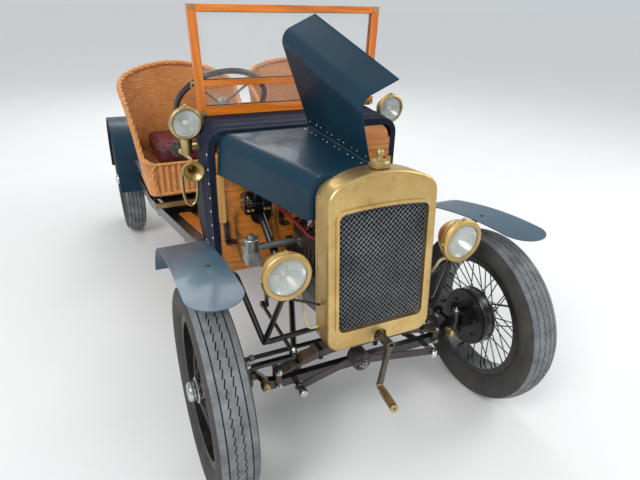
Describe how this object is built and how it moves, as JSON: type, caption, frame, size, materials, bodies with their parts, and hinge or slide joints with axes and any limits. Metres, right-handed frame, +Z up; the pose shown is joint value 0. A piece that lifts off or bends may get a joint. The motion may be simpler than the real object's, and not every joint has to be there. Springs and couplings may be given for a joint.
{
  "type": "vintage economy car",
  "caption": "Light open two-seat car on wire wheels with a bare front end, a brass radiator, wicker seats, an upright windscreen and one bonnet half raised.",
  "frame": {"origin": "on the ground, on the centre line, at mid length", "axes": "-Y is forward, +X is the left side of the car, +Z is up"},
  "size_m": [1.21, 2.752, 1.3439],
  "materials": {
    "tyre_rubber": "matt, a little dusty",
    "black_enamel": "satin black enamel",
    "leaf_spring_steel": "worn grey-brown steel",
    "damper_paint": "worn dark paint",
    "polished_brass": "satin polished",
    "radiator_black": "matt black",
    "guard_wire": "dull light grey wire",
    "engine_black": "gloss black",
    "cast_metal": "cast, dull",
    "exhaust_iron": "rusty brown",
    "blue_enamel": "satin petrol-blue enamel",
    "varnished_wood": "orange gloss varnish",
    "clear_glass": "clear",
    "wheel_rim_black": "satin black rim",
    "wicker": "woven cane, varnished",
    "maroon_leather": "worn maroon",
    "lead_rubber": "red and cream"
  },
  "bodies": {
    "car_body": {"body_sills": "black_enamel", "bulb_horn": "polished_brass", "bulkhead": "varnished_wood", "carburettor": "cast_metal", "chassis_frame": "black_enamel", "dashboard": "varnished_wood", "engine": "engine_black", "exhaust": "exhaust_iron", "floor_boards": "varnished_wood", "friction_damper": "damper_paint", "front_axle": "black_enamel", "front_wing_left": "blue_enamel", "front_wing_right": "blue_enamel", "gearbox_cover": "black_enamel", "headlamps": "polished_brass", "lamp_glasses": "clear_glass", "leaf_springs": "leaf_spring_steel", "plate_bracket": "black_enamel", "radiator_cap": "polished_brass", "radiator_core": "radiator_black", "radiator_shell": "polished_brass", "rear_axle": "black_enamel", "rear_deck": "varnished_wood", "rear_wing_left": "blue_enamel", "rear_wing_right": "blue_enamel", "regulator_box": "engine_black", "scuttle": "blue_enamel", "seat_cushion_left": "maroon_leather", "seat_cushion_right": "maroon_leather", "seat_platform": "varnished_wood", "side_lamps": "polished_brass", "starting_handle": "polished_brass", "steering_column": "black_enamel", "stone_guard": "guard_wire", "wicker_seat_left": "wicker", "wicker_seat_right": "wicker", "windscreen_frame": "varnished_wood", "windscreen_glass": "clear_glass", "wing_stays": "black_enamel", "wiring": "lead_rubber"},
    "steering_right": {"knuckle_right": "black_enamel"},
    "steering_left": {"knuckle_left": "black_enamel"},
    "track_rod": {"track_rod": "black_enamel"},
    "drag_link": {"drag_link": "black_enamel"},
    "drop_arm": {"drop_arm": "black_enamel"},
    "steering_wheel": {"steering_wheel": "wheel_rim_black"},
    "bonnet_right": {"bonnet_right": "blue_enamel"},
    "bonnet_left": {"bonnet_left": "blue_enamel"},
    "wheel_front_right": {"tyre_front_right": "tyre_rubber", "wire_wheel_front_right": "black_enamel"},
    "wheel_front_left": {"tyre_front_left": "tyre_rubber", "wire_wheel_front_left": "black_enamel"},
    "wheel_rear_right": {"tyre_rear_right": "tyre_rubber", "wire_wheel_rear_right": "black_enamel"},
    "wheel_rear_left": {"tyre_rear_left": "tyre_rubber", "wire_wheel_rear_left": "black_enamel"}
  },
  "joints": [
    {"name": "steer_right", "type": "hinge", "parent": "car_body", "child": "steering_right", "pos_m": [-0.395, -1.057, 0.319], "axis": [0, 0, 1], "range_deg": [-30, 30]},
    {"name": "steer_left", "type": "hinge", "parent": "car_body", "child": "steering_left", "pos_m": [0.395, -1.057, 0.319], "axis": [0, 0, 1], "range_deg": [-30, 30]},
    {"name": "track_rod_pivot", "type": "hinge", "parent": "steering_right", "child": "track_rod", "pos_m": [-0.395, -0.962, 0.303], "axis": [0, 0, 1], "range_deg": [-30, 30]},
    {"name": "drag_link_pivot", "type": "hinge", "parent": "steering_right", "child": "drag_link", "pos_m": [-0.245, -1.057, 0.361], "axis": [0, 0, 1], "range_deg": [-30, 30]},
    {"name": "drop_arm_pivot", "type": "hinge", "parent": "car_body", "child": "drop_arm", "pos_m": [-0.23, -0.757, 0.511], "axis": [1, 0, 0], "range_deg": [-30, 30]},
    {"name": "steering_wheel_turn", "type": "hinge", "parent": "car_body", "child": "steering_wheel", "pos_m": [-0.215, -0.207, 0.99], "axis": [-0.0507, 0.7531, 0.6559], "range_deg": [-240, 240]},
    {"name": "bonnet_right_hinge", "type": "hinge", "parent": "car_body", "child": "bonnet_right", "pos_m": [0, -1.039, 0.945], "axis": [0, 0.9996, 0.0276], "range_deg": [0, 55]},
    {"name": "bonnet_left_hinge", "type": "hinge", "parent": "car_body", "child": "bonnet_left", "pos_m": [0, -1.039, 0.945], "axis": [0, 0.9996, 0.0276], "range_deg": [0, 110.6]},
    {"name": "spin_front_right", "type": "hinge", "parent": "steering_right", "child": "wheel_front_right", "pos_m": [-0.508, -1.057, 0.319], "axis": [1, 0, 0], "continuous": true},
    {"name": "spin_front_left", "type": "hinge", "parent": "steering_left", "child": "wheel_front_left", "pos_m": [0.508, -1.057, 0.319], "axis": [1, 0, 0], "continuous": true},
    {"name": "spin_rear_right", "type": "hinge", "parent": "car_body", "child": "wheel_rear_right", "pos_m": [-0.533, 1, 0.319], "axis": [1, 0, 0], "continuous": true},
    {"name": "spin_rear_left", "type": "hinge", "parent": "car_body", "child": "wheel_rear_left", "pos_m": [0.533, 1, 0.319], "axis": [1, 0, 0], "continuous": true}
  ],
  "couplings": [
    {"joint": "steer_left", "follows": "steer_right", "ratio": 1},
    {"joint": "track_rod_pivot", "follows": "steer_right", "ratio": -1},
    {"joint": "drag_link_pivot", "follows": "steer_right", "ratio": -1},
    {"joint": "drop_arm_pivot", "follows": "steer_right", "ratio": 1},
    {"joint": "steering_wheel_turn", "follows": "steer_right", "ratio": 8}
  ]
}
